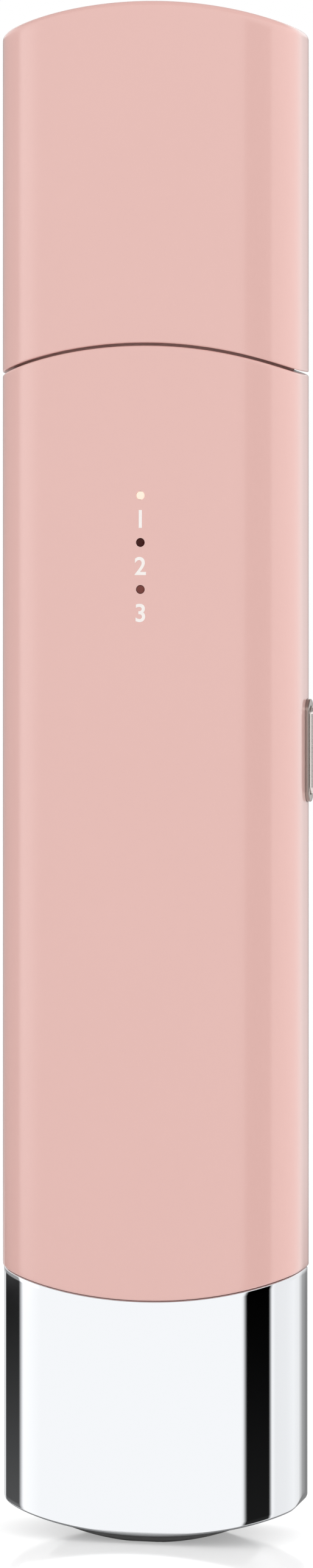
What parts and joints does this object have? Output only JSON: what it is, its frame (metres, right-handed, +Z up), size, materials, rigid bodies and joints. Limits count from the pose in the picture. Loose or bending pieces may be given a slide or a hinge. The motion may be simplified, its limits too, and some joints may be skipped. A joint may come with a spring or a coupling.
{
  "type": "facial cleansing device",
  "caption": "Slim hand-held ultrasonic facial cleansing wand with a pull-off cap over a steel blade, indicator lamps, a slim side button and a plated base it stands on.",
  "frame": {"origin": "centre of the flat foot under the plated base", "axes": "+Z up towards the cap and the blade, the front face with the lamps looks along -Y, the button is on the +X side"},
  "size_m": [0.039, 0.017, 0.1906],
  "materials": {
    "lacquer": "satin rose lacquer",
    "plated_base": "mirror plating",
    "collar_plastic": "fine matte moulding",
    "black_rubber": "moulded rubber",
    "grey_silicone": "soft silicone",
    "blade_steel": "ground and polished stainless steel",
    "turned_steel": "turned steel",
    "screw_steel": "zinc plated",
    "piezo_ceramic": "fired ceramic with silvered faces",
    "copper": "bright copper alloy",
    "white_plastic": "moulded",
    "board": "green solder mask",
    "black_plastic": "moulded",
    "can_aluminium": "drawn can",
    "lamp": "cast resin",
    "clear_pin": "clear acrylic",
    "plated_button": "satin plating",
    "socket_steel": "drawn steel",
    "cell_foil": "laminated foil",
    "foam": "adhesive foam",
    "red_wire": "insulated wire",
    "blue_wire": "insulated wire"
  },
  "bodies": {
    "wand": {"front_cover": "lacquer", "rear_cover": "lacquer", "base_shell": "plated_base", "collar": "collar_plastic", "collar_gasket": "black_rubber", "cap_gasket": "black_rubber", "base_gasket": "black_rubber", "blade": "blade_steel", "blade_seal": "grey_silicone", "blade_pin": "turned_steel", "horn": "turned_steel", "horn_sleeve": "black_rubber", "sleeve_clamps": "turned_steel", "clamp_screws": "screw_steel", "piezo_rings": "piezo_ceramic", "electrodes": "copper", "back_mass": "turned_steel", "stack_bolt": "screw_steel", "chassis_plate": "white_plastic", "chassis_screws": "screw_steel", "circuit_board": "board", "board_screws": "screw_steel", "controller_chip": "black_plastic", "charger_chip": "black_plastic", "driver_inductor": "black_plastic", "capacitors": "can_aluminium", "mode_lamps": "lamp", "light_pins": "clear_pin", "light_shroud": "black_plastic", "switch_body": "black_plastic", "button_bezel": "plated_button", "charge_socket": "socket_steel", "socket_tongue": "black_plastic", "battery_cell": "cell_foil", "cell_pad": "foam", "cell_socket": "white_plastic", "cell_plug": "white_plastic", "cell_wires": "red_wire", "piezo_wires": "blue_wire", "base_contact": "copper", "cover_screws": "screw_steel"},
    "cap": {"cap": "lacquer"},
    "button": {"side_button": "plated_button", "switch_plunger": "white_plastic", "button_ring": "black_rubber"}
  },
  "joints": [
    {"name": "cap_pull", "type": "slide", "parent": "wand", "child": "cap", "axis": [0, 0, 1], "range_m": [0, 0.045]},
    {"name": "button_press", "type": "slide", "parent": "wand", "child": "button", "axis": [-1, 0, 0], "range_m": [0, 0.0004], "stiffness_N_per_m": 3000, "springref_m": -0.0002}
  ]
}
